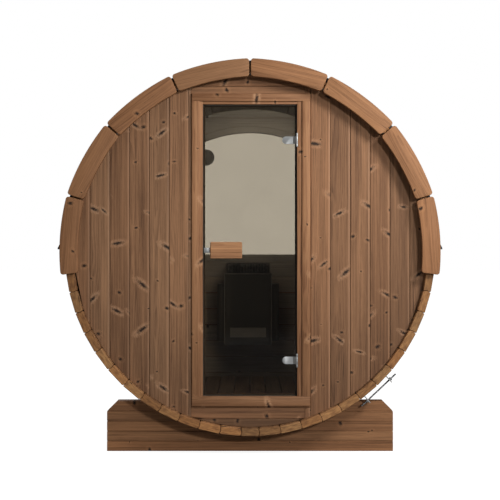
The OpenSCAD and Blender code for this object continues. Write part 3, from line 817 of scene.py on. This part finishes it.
def build_side_boards():
    """Upright boards on both sides of the door, from the door outwards."""
    left = Boards("front_boards_left")
    x = OPEN_LEFT - FIRST_STRIP
    wall_board(left, x + JOINT, OPEN_LEFT)
    while x > LEAST_BOARD - BOARD_END_R:
        wall_board(left, max(x - BOARD_COVER, SIDE_ROOM - BOARD_END_R) + JOINT, x)
        x -= BOARD_COVER
    left.build(WALL, replaces=("front_wall_left",))

    right = Boards("front_boards_right")
    x = OPEN_RIGHT
    while x < BOARD_END_R - LEAST_BOARD:
        wall_board(right, x + JOINT, min(x + BOARD_COVER, BOARD_END_R - SIDE_ROOM))
        x += BOARD_COVER
    right.build(WALL, replaces=("front_wall_right",))


def build_door_boards():
    """Level boards over and under the door, and the upright filler beside them."""
    split = OPEN_RIGHT - FILLER_W
    head = Boards("front_boards_head")
    head_top = OPEN_TOP + HEAD_H
    level_board(head, OPEN_TOP, head_top, OPEN_LEFT, split)
    level_board(head, head_top + LEVEL_JOINT, BARREL_Z + BARREL_R, OPEN_LEFT, split)
    wall_board(head, split + 2 * JOINT, OPEN_RIGHT, z_low=OPEN_TOP)
    head.build(WALL, replaces=("front_wall_head",))

    sill = Boards("front_boards_sill")
    sill_low = OPEN_BOTTOM - SILL_H
    lowest = OPEN_LEFT * LOWEST_SHARE
    level_board(sill, sill_low, OPEN_BOTTOM, OPEN_LEFT, split)
    level_board(sill, BARREL_Z - BARREL_R, sill_low - LEVEL_JOINT, lowest, -lowest)
    wall_board(sill, split + 2 * JOINT, OPEN_RIGHT, z_high=OPEN_BOTTOM)
    sill.build(WALL, replaces=("front_wall_sill",))


build_side_boards()
build_door_boards()


def level_cuts(node, first):
    """Heights of the joints between a wall's level boards."""
    low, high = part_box(node)
    count = int((high.z - low.z) / BOARD_COVER) + 3
    return [first + BOARD_COVER * i for i in range(-count, count)
            if low.z + 8 * MM < first + BOARD_COVER * i < high.z - 8 * MM]


wall_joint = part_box("window_frame")[0].z
for part in ("lower", "upper"):
    back_wall = f"back_wall_{part}"
    back_boards = sliced(back_wall, f"back_boards_{part}", WALL, Z,
                         level_cuts(back_wall, wall_joint), 0.8 * MM, 3 * MM)
    line_faces(back_boards, lambda polygon: polygon.normal.y < -0.7)


# ---------------------------------------------------------------- door frame and rear window

for part, axes in (("left", along_z), ("right", along_z), ("head", along_x), ("sill", along_x)):
    eased(f"door_frame_{part}", f"door_casing_{part}", FRAME, 1.6 * MM,
          axes_of=axes, tone=0.6)
window_trim = eased("window_frame", "window_frame_eased", FRAME, 2.5 * MM)
line_faces(window_trim, lambda polygon: polygon.center.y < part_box("window_glass")[0].y)
finish_node("window_glass", CLEAR)


def build_seals():
    """Seals on the stop behind the glass: grey ones, and black ones on the hinge side, which
    are left out where the hinges are."""
    boards = Boards("door_seals")
    hinge_side = Boards("door_seals_hinge_side")
    glass_low, glass_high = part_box("door_glass")
    wide = glass_high.x + SEAL_LAP - STOP_IN
    front = glass_high.y + 0.4 * MM
    profile = [(0, STOP_FACE), (0, STOP_FACE - 1.2 * MM), (1.2 * MM, STOP_FACE - 1.6 * MM),
               (2.2 * MM, front + 0.8 * MM), (4.2 * MM, front), (6.4 * MM, front + 0.6 * MM),
               (7.6 * MM, STOP_FACE - 1.8 * MM), (wide, STOP_FACE - 1.6 * MM), (wide, STOP_FACE)]
    hinges = sorted((low.z, high.z) for low, high in HINGE_SPANS)
    z_low, z_high = glass_low.z - SEAL_LAP, glass_high.z + SEAL_LAP

    def upright(side):
        return lambda along, across, depth: Vector((side * (STOP_IN + across), depth, along))

    def level(sign, edge):
        return lambda along, across, depth: Vector((along, depth, edge + sign * across))

    boards.prism(profile, upright(-1), z_low, z_high, tone=0.5)
    starts = [z_low] + [h[1] + HINGE_ROOM for h in hinges]
    stops = [h[0] - HINGE_ROOM for h in hinges] + [z_high]
    for start, stop in zip(starts, stops):
        hinge_side.prism(profile, upright(1), start, stop, tone=0.5)
    boards.prism(profile, level(1, glass_high.z - STOP_LAP), -STOP_IN, STOP_IN, tone=0.5)
    boards.prism(profile, level(-1, glass_low.z + STOP_LAP), -STOP_IN, STOP_IN, tone=0.5)
    boards.build(PALE_RUBBER, smooth_angle=30)
    hinge_side.build(RUBBER, smooth_angle=30)


def solid_boxes(node):
    """The box of each separate solid of a CAD node."""
    bm = cad_bmesh(node)
    boxes = []
    for group in islands(bm):
        points = np.array([v.co[:] for v in group])
        boxes.append((Vector(points.min(0)), Vector(points.max(0))))
    bm.free()
    return boxes


HINGE_SPANS = solid_boxes("hinge_leaves")
STOP_LAP = 5.8 * MM  # how far the stop reaches in behind the glass
SEAL_LAP = 5.6 * MM  # how far the seals reach out past the glass
HINGE_ROOM = 3 * MM  # between a seal and a hinge
STOP_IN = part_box("door_glass")[1].x - STOP_LAP
STOP_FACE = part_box("door_glass")[1].y + 5.7 * MM
build_seals()


# ---------------------------------------------------------------- arched trim


def along_arch(points):
    """A trim piece's grain runs square to the spoke through its middle."""
    middle = points.mean(0)
    spoke = Vector((middle[0], 0, middle[2] - ROOF_Z)).normalized()
    return [Vector((spoke.z, 0, -spoke.x)), spoke, Y]


def arch_painted_light(middle):
    """Painted light: the trim is palest at the upper right, where the light comes from, and gets darker
    towards the lower left.
    """
    angle = math.degrees(math.atan2(middle.z - ROOF_Z, middle.x))
    return 0.5 + 0.5 * ((angle - 45) / 140) ** 2


# The arched trim's tone carries a painted light, palest towards the upper right
for part in ("front_left", "front_right", "back_left", "back_right"):
    eased(f"fascia_{part}", f"arch_trim_{part}", TRIM, 3.0 * MM, segments=3,
          axes_of=along_arch, tone=arch_painted_light)


# ---------------------------------------------------------------- cradles, floor

LAMELLA = 56.6 * MM
for part in ("front", "back"):
    sliced(f"cradle_{part}", f"cradle_beam_{part}", CRADLE, Z,
           [LAMELLA * i for i in range(1, 5)], 1.2 * MM, 2.0 * MM, axes_of=along_x)
floor_low, floor_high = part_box("floor_boards")
FLOOR_PITCH = (floor_high.x - floor_low.x) / 8
sliced("floor_boards", "floor_planks", FLOOR, X,
       [floor_low.x + FLOOR_PITCH * i for i in range(1, 8)], 6 * MM, 2.5 * MM)
eased("floor_bearers", "floor_bearers_eased", FLOOR, 2 * MM)


# ---------------------------------------------------------------- door

finish_node("door_glass", SMOKED)
eased("door_handle", "handle_block", HANDLE, 4.5 * MM, body="door", segments=1,
      axes_of=along_x, tone=0.35)
for node, name, width, body in (
        ("door_latch", "latch_plate", 1.2 * MM, "door"),
        ("hinge_leaves", "hinge_leaves_eased", 0.7 * MM, "door"),
        ("hinge_brackets", "hinge_brackets_eased", 0.7 * MM, "root"),
        ("strike_plate", "strike_plate_eased", 0.4 * MM, "root")):
    eased(node, name, STEEL, width, body=body)


def build_counter_plates():
    """Plates inside the glass that the hinge leaves are clamped to, each with two screws."""
    head_r = 4.5 * MM
    head = round_profile(head_r, 20)
    boards = Boards("hinge_counter_plates")
    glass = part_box("door_glass")[1].y
    for low, high in HINGE_SPANS:
        middle = (low.z + high.z) / 2
        x0, x1, half = low.x + 1 * MM, STOP_IN - 4 * MM, 20 * MM
        outline = [(x1, -half), (x1, half)]
        outline += [(x0 + half - half * math.sin(a), half * math.cos(a))
                    for a in [math.pi * i / 16 for i in range(17)]]
        boards.prism(outline, lambda along, a, b, z=middle: Vector((a, along, z + b)),
                     glass + 0.2 * MM, glass + 3.6 * MM, tone=0.5, ease=0.5 * MM,
                     size=(x1 - x0, 2 * half))
        for x in (x0 + 18 * MM, x1 - 14 * MM):
            boards.prism(head, lambda along, a, b, x=x, z=middle: Vector((x + a, along, z + b)),
                         glass + 3.4 * MM, glass + 4.8 * MM, tone=0.5, ease=0.4 * MM,
                         size=(2 * head_r, 2 * head_r))
    boards.build(STEEL, body="door", smooth_angle=30)


build_counter_plates()


def build_vent():
    """A round valve in the rear window: a flange, a gap and a cap, the same inside and out."""
    low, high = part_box("window_vent")
    middle, radius = (low + high) / 2, (high.x - low.x) / 2
    half = (high.y - low.y) / 2
    outline = [(0.0, 1.0), (0.52, 1.0), (0.60, 0.86), (0.60, 0.45), (0.66, 0.40), (0.66, 0.62),
               (0.70, 0.72), (0.90, 0.66), (1.0, 0.45)]
    outline += [(r, -d) for r, d in outline[::-1]]
    boards = Boards("window_valve")
    steps, count = 56, len(outline)
    points = [middle + Vector((radius * r * math.cos(2 * math.pi * i / steps), half * d,
                               radius * r * math.sin(2 * math.pi * i / steps)))
              for i in range(steps) for r, d in outline]
    faces = [(i * count + j, i * count + j + 1, (i + 1) % steps * count + j + 1, (i + 1) % steps * count + j)
             for i in range(steps) for j in range(count - 1)]
    boards.add(points, faces, [tuple(p) for p in points], 0.5)
    piece = boards.build(VENT, replaces=("window_vent",))
    bm = bmesh.new()
    bm.from_mesh(piece.data)
    bmesh.ops.remove_doubles(bm, verts=bm.verts, dist=0.01 * MM)
    bmesh.ops.recalc_face_normals(bm, faces=bm.faces)
    bm.to_mesh(piece.data)
    bm.free()
    piece.data.shade_smooth()
    piece.data.set_sharp_from_angle(angle=math.radians(30))


# ---------------------------------------------------------------- roof


SHINGLE_T = 2.4 * MM


def bent_shingle(boards, side, stations, y0, y1):
    """A thin slab bent round the roof. Each station is an angle, and the slab's outer radius
    there at y0 and at y1."""
    points, grain, faces = [], [], []
    for angle, *radii in stations:
        for y, out in zip((y0, y1), radii):
            for r in (out - SHINGLE_T, out):
                points.append(Vector((side * r * math.cos(angle), y, ROOF_Z + r * math.sin(angle))))
                grain.append((y, angle, r))
    last = 4 * (len(stations) - 1)
    for a in range(0, last, 4):
        b = a + 4
        faces += [(a + 1, a + 3, b + 3, b + 1), (a, b, b + 2, a + 2),
                  (a, a + 1, b + 1, b), (a + 2, b + 2, b + 3, a + 3)]
    faces += [(0, 2, 3, 1), (last, last + 1, last + 3, last + 2)]
    boards.add(points, faces, grain, boards.rng.random())


def build_shingles(side, node):
    """Lapped courses of shingles up one side of the roof."""
    boards = Boards(f"shingles_{'right' if side > 0 else 'left'}")
    base_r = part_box("roof_deck")[1].x + 0.3 * MM
    course_h, tab_w, slot, least_tab = 0.136, 0.316, 8 * MM, 12 * MM
    tilt, stagger, lap = 6.2 * MM, 7 * MM, 1.9
    first = math.asin((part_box("eaves")[1].z - ROOF_Z) / SHINGLE_R) - 0.002
    courses = math.ceil((math.pi / 2 - first) * SHINGLE_R / course_h)
    span = lap * course_h / SHINGLE_R
    steps = 5
    for course in range(courses):
        low = first + course * course_h / SHINGLE_R
        reach = min(span, math.pi / 2 - low)
        if reach < 0.1 * span:
            continue
        y = -STAVE_END - (course % 2) * tab_w / 2 - (course % 3) * stagger
        while y < STAVE_END:
            y0, y1 = max(y + slot / 2, -STAVE_END), min(y + tab_w - slot / 2, STAVE_END)
            y += tab_w
            if y1 - y0 < least_tab:
                continue
            lift = tilt + boards.rng.uniform(0, 0.5) * MM
            stations = []
            for i in range(steps + 1):
                out = base_r + lift * (1 - i / steps * reach / span)
                stations.append((low + reach * i / steps, out, out))
            bent_shingle(boards, side, stations, y0, y1)
    boards.build(SHINGLES, replaces=(node,), smooth_angle=20)


def build_ridge():
    """Cap shingles bent over the top, lapped along the ridge."""
    boards = Boards("ridge_caps")
    base_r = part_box("roof_deck")[1].x + 7 * MM
    half_w, exposure, lap, rise, steps = 0.125, 0.127, 1.6, 2.6 * MM, 6
    for i in range(math.ceil(2 * STAVE_END / exposure)):
        y0 = -STAVE_END + i * exposure
        y1 = min(y0 + lap * exposure, STAVE_END)
        stations = [(math.pi / 2 + half_w / base_r * (1 - 2 * j / steps), base_r + rise, base_r)
                    for j in range(steps + 1)]
        bent_shingle(boards, 1, stations, y0, y1)
    boards.build(SHINGLES, smooth_angle=20)


build_shingles(1, "roof_shingles_right")
build_shingles(-1, "roof_shingles_left")
build_ridge()
eased("eaves", "eaves_eased", SHINGLES, 1.5 * MM)
eased("roof_deck", "roof_boarding", DECK, 0.8 * MM)


# ---------------------------------------------------------------- bands and screws

finish_node("bands", BAND_STEEL)


LUG_FACE = 86 * MM  # from the middle of a rod to the outer face of each lug


def near_rod(rod, s, angle, radius):
    """A point s along a rod's line, at an angle and a radius about it."""
    middle, along, across = rod
    return middle + along * s + (across * math.cos(angle) + Y * math.sin(angle)) * radius


def add_thread(boards, rod, half):
    """A rod with a spiral thread and tapered tips."""
    rod_r, sides, pitch, per_turn = 5 * MM, 14, 2.0 * MM, 4
    rows = int(2 * half / pitch * per_turn)
    points, grain = [], []
    for i in range(rows + 1):
        s = -half + 2 * half * i / rows
        taper = min(1.0, (half - abs(s)) / (1.5 * MM))
        for j in range(sides):
            a = 2 * math.pi * j / sides
            turn = (s / pitch - a / (2 * math.pi)) % 1.0
            r = rod_r * (0.86 + 0.14 * taper) - 0.75 * MM * (1 - abs(2 * turn - 1))
            points.append(near_rod(rod, s, a, r))
            grain.append((s, a, r))
    boards.add(points, ring_faces(rows + 1, sides), grain, 0.5)


def add_nut(boards, rod, sign, start, thick, radius, corners):
    """A nut or washer with chamfered rims, outside the lug on one side."""
    rims = ((0, 0.93), (0.12, 1.0), (0.88, 1.0), (1.0, 0.9))
    points = [near_rod(rod, sign * (LUG_FACE + start + thick * depth), 2 * math.pi * j / corners,
                       radius * share)
              for depth, share in rims for j in range(corners)]
    boards.add(points, ring_faces(len(rims), corners), [(0, 0, 0)] * len(points), 0.5)


def build_screws():
    """Threaded rods with nuts and washers, on the lines of the CAD rods."""
    boards = Boards("threaded_rods")
    tip = 6 * MM
    washer_t, washer_r, nut_t, nut_r = 1.6 * MM, 10.5 * MM, 7.6 * MM, 9.6 * MM
    bm = cad_bmesh("tension_screws")
    for group in islands(bm):
        points = np.array([v.co[:] for v in group])
        # The rod's ends are its lowest and highest points, and its line runs between them
        heights = points[:, 2]
        low = Vector(points[heights < heights.min() + tip].mean(0))
        high = Vector(points[heights > heights.max() - tip].mean(0))
        middle = Vector(points.mean(0))
        along = (high - low).normalized()
        along.y = 0
        along.normalize()
        rod = (middle, along, along.cross(Y).normalized())
        add_thread(boards, rod, max((Vector(p) - middle).dot(along) for p in points))
        for sign in (-1, 1):
            add_nut(boards, rod, sign, 0, washer_t, washer_r, corners=24)
            add_nut(boards, rod, sign, washer_t, nut_t, nut_r, corners=6)
    bm.free()
    boards.build(ROD_STEEL, replaces=("tension_screws",), smooth_angle=32)


build_screws()


# ---------------------------------------------------------------- heater

eased("heater_housing", "heater_case", HEATER, 2 * MM)
heater_points = node_points("heater_housing")
heater_front = heater_points[:, 1].min()
on_front = heater_points[heater_points[:, 1] < heater_front + 1 * MM]
case_low, case_high = on_front.min(0), on_front.max(0)
in_slot = heater_points[(heater_points[:, 1] > heater_front + 8 * MM)
                        & (heater_points[:, 1] < heater_front + 16 * MM)]
slot_low, slot_high = in_slot.min(0), in_slot.max(0)
stones_low, stones_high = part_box("heater_stones")
BASKET_LOW = Vector((case_low[0] + 4 * MM, stones_low.y - 8 * MM, stones_low.z))
BASKET_HIGH = Vector((case_high[0] - 4 * MM, stones_high.y + 8 * MM, stones_high.z))


def build_basket():
    """Upright bars and two rails round the stones."""
    boards = Boards("stone_basket")
    low, high = BASKET_LOW, BASKET_HIGH
    bar = round_profile(2.2 * MM)
    across = [low.x + (high.x - low.x) * i / 15 for i in range(16)]
    deep = [low.y + (high.y - low.y) * i / 13 for i in range(1, 13)]
    feet = [(x, y) for x in across for y in (low.y, high.y)]
    feet += [(x, y) for y in deep for x in (low.x, high.x)]
    for x, y in feet:
        boards.prism(bar, lambda along, a, b, x=x, y=y: Vector((x + a, y + b, along)),
                     low.z - 2 * MM, high.z - 2 * MM, tone=0.5)
    for z in (low.z + 4 * MM, high.z - 4 * MM):
        for y in (low.y, high.y):
            boards.prism(bar, lambda along, a, b, y=y, z=z: Vector((along, y + a, z + b)),
                         low.x, high.x, tone=0.5)
        for x in (low.x, high.x):
            boards.prism(bar, lambda along, a, b, x=x, z=z: Vector((x + a, along, z + b)),
                         low.y, high.y, tone=0.5)
    boards.build(DARK_STEEL, smooth_angle=40)


def build_heater_trim():
    """A bright rim along the top of the case, and louvres over a pale plate in its slot."""
    boards = Boards("heater_trim")
    rim = [(0, 0), (5 * MM, 0), (6 * MM, 1 * MM), (6 * MM, 4 * MM), (5 * MM, 5 * MM), (0, 5 * MM)]

    def on_front(back, z):
        return lambda along, a, b: Vector((along, heater_front + back + a, z + b))

    outwards = [(-a, b) for a, b in rim]
    boards.prism(outwards, on_front(4 * MM, case_high[2] - 2 * MM),
                 case_low[0] + 2 * MM, case_high[0] - 2 * MM, tone=0.5)
    slot_h = slot_high[2] - slot_low[2]
    plate = [(0, 0), (2 * MM, 0), (2 * MM, slot_h - 4 * MM), (0, slot_h - 4 * MM)]
    boards.prism(plate, on_front(5 * MM, slot_low[2] + 2 * MM),
                 slot_low[0] + 2 * MM, slot_high[0] - 2 * MM, tone=0.5)
    fin = [(0, 0), (-4.5 * MM, -3 * MM), (-4.5 * MM, -2 * MM), (0, 1.2 * MM)]
    count = 5
    for i in range(count):
        boards.prism(fin, on_front(5 * MM, slot_low[2] + slot_h * (i + 0.5) / count),
                     slot_low[0] + 3 * MM, slot_high[0] - 3 * MM, tone=0.5)
    boards.build(PALE_STEEL, smooth_angle=30)


def build_stones():
    """A heap of rounded stones that fills the basket."""
    inset = Vector((6, 6, 0)) * MM
    low, high = BASKET_LOW + inset, BASKET_HIGH - inset
    boards = Boards("sauna_stones")
    rng = boards.rng
    bm = bmesh.new()
    bmesh.ops.create_icosphere(bm, subdivisions=3, radius=1.0)
    ball = [v.co.copy() for v in bm.verts]
    skin = [tuple(v.index for v in f.verts) for f in bm.faces]
    bm.free()
    across, deep, layers = 6, 6, 2
    for layer in range(layers):
        for i in range(across):
            for j in range(deep):
                size = Vector((rng.uniform(0.022, 0.029), rng.uniform(0.022, 0.029),
                               rng.uniform(0.016, 0.023)))
                room = high - low - size * 2.3
                centre = Vector((
                    low.x + size.x * 1.15 + room.x * (i + rng.uniform(-0.1, 0.1)) / (across - 1),
                    low.y + size.y * 1.15 + room.y * (j + rng.uniform(-0.1, 0.1)) / (deep - 1),
                    low.z + 0.017 + layer * 0.031 + rng.uniform(-3, 3) * MM))
                centre.x = min(max(centre.x, low.x + size.x * 1.1), high.x - size.x * 1.1)
                centre.y = min(max(centre.y, low.y + size.y * 1.1), high.y - size.y * 1.1)
                centre.z = min(centre.z, high.z - size.z * 1.12)
                turn = Matrix.Rotation(rng.uniform(0, 6.28), 3, "Z")
                turn = turn @ Matrix.Rotation(rng.uniform(-0.3, 0.3), 3, "X")
                seed = Vector((rng.uniform(0, 90), rng.uniform(0, 90), 0))
                points = []
                for p in ball:
                    lump = 1 + 0.16 * noise.noise(p * 1.3 + seed) + 0.05 * noise.noise(p * 3.7 + seed)
                    points.append(centre + turn @ Vector((p.x * size.x, p.y * size.y, p.z * size.z)) * lump)
                boards.add(points, skin, [tuple(p) for p in points], rng.random())
    boards.build(STONE, replaces=("heater_stones",), smooth_angle=60)


build_vent()
build_basket()
build_heater_trim()
build_stones()


# ---------------------------------------------------------------- stage, light and camera


def build_stage():
    """A pale floor. It looks near white, and throws back less light than it shows."""
    dim, bright, glow_strength = 0.22, 0.25, 0.92
    n = new_material("pale_floor")
    place = n.place()
    tint = n.mix(n.span(n.noise(place, 1.5, 3.0), 0.3, 0.7), n.grey(dim), n.grey(bright))
    matt = n.add("ShaderNodeBsdfDiffuse", {"Color": tint})
    glow = n.add("ShaderNodeEmission", {"Color": (1, 1, 1, 1)})
    seen = n.add("ShaderNodeLightPath").outputs["Is Camera Ray"]
    n.put(glow.inputs["Strength"], n.times(seen, glow_strength))
    both = n.add("ShaderNodeAddShader", {0: matt.outputs[0], 1: glow.outputs[0]})
    bm = bmesh.new()
    bmesh.ops.create_grid(bm, x_segments=2, y_segments=2, size=60)
    mesh = bpy.data.meshes.new("floor_plane")
    bm.to_mesh(mesh)
    bm.free()
    mesh.materials.append(n.show(both))
    ground = bpy.data.objects.new("floor_plane", mesh)
    ground.location.z = -0.5 * MM
    bpy.context.scene.collection.objects.link(ground)


def build_world(horizon, overhead):
    """White to look at. As light it is soft: dim at the horizon and brighter overhead."""
    world = bpy.data.worlds.new("studio")
    bpy.context.scene.world = world
    n = Nodes(world, "ShaderNodeOutputWorld")
    up = n.add("ShaderNodeSeparateXYZ", {0: n.add("ShaderNodeTexCoord").outputs["Generated"]}).outputs[2]
    strength = n.span(up, 0.05, 0.75, horizon, overhead, smooth=True)
    seen = n.add("ShaderNodeBackground", {0: (1, 1, 1, 1), 1: 1.0})
    lit = n.add("ShaderNodeBackground", {0: (1.0, 0.99, 0.975, 1), 1: strength})
    path = n.add("ShaderNodeLightPath")
    both = n.add("ShaderNodeMixShader", {0: path.outputs["Is Camera Ray"], 1: lit.outputs[0],
                                         2: seen.outputs[0]})
    n.show(both)


def add_lamp(name, place, aim, size, power, mirrored=True, spread=180):
    """A round lamp that points at aim."""
    data = bpy.data.lights.new(name, "AREA")
    data.shape = "DISK"
    data.size = size
    data.energy = power
    data.spread = math.radians(spread)
    lamp = bpy.data.objects.new(name, data)
    lamp.location = place
    lamp.rotation_euler = (Vector(aim) - Vector(place)).to_track_quat("-Z", "Y").to_euler()
    lamp.visible_glossy = mirrored
    bpy.context.scene.collection.objects.link(lamp)


def build_camera():
    """Stands well in front of the trim, level, at a little over half its height."""
    away, height = 7.0, 1.139
    data = bpy.data.cameras.new("camera")
    data.lens = 91.66
    data.sensor_width = 36
    camera = bpy.data.objects.new("camera", data)
    camera.location = (0, cad_box[0].y - away, height)
    camera.rotation_euler = (math.pi / 2, 0, 0)
    bpy.context.scene.collection.objects.link(camera)
    bpy.context.scene.camera = camera


build_stage()
build_world(horizon=0.14, overhead=0.62)
add_lamp("key", place=(3.0, -10.4, 3.2), aim=(0, -0.9, 1.1), size=0.8, power=336)
add_lamp("top_soft", place=(2.1, -2.9, 2.7), aim=(0.3, -0.9, 1.6), size=0.8, power=66)
add_lamp("cabin_glow", place=(0.3, -0.55, 1.98), aim=(0, 0.85, 1.80), size=0.25, power=3.2,
         mirrored=False, spread=70)
add_lamp("cabin_low", place=(-0.15, -0.6, 1.25), aim=(-0.05, 0.8, 0.5), size=0.3, power=0.45,
         mirrored=False, spread=90)
add_lamp("back_fill", place=(-3.0, 5.0, 3.6), aim=(0, 0.9, 1.1), size=2.0, power=150)
build_camera()
bpy.context.scene.view_settings.view_transform = "Standard"
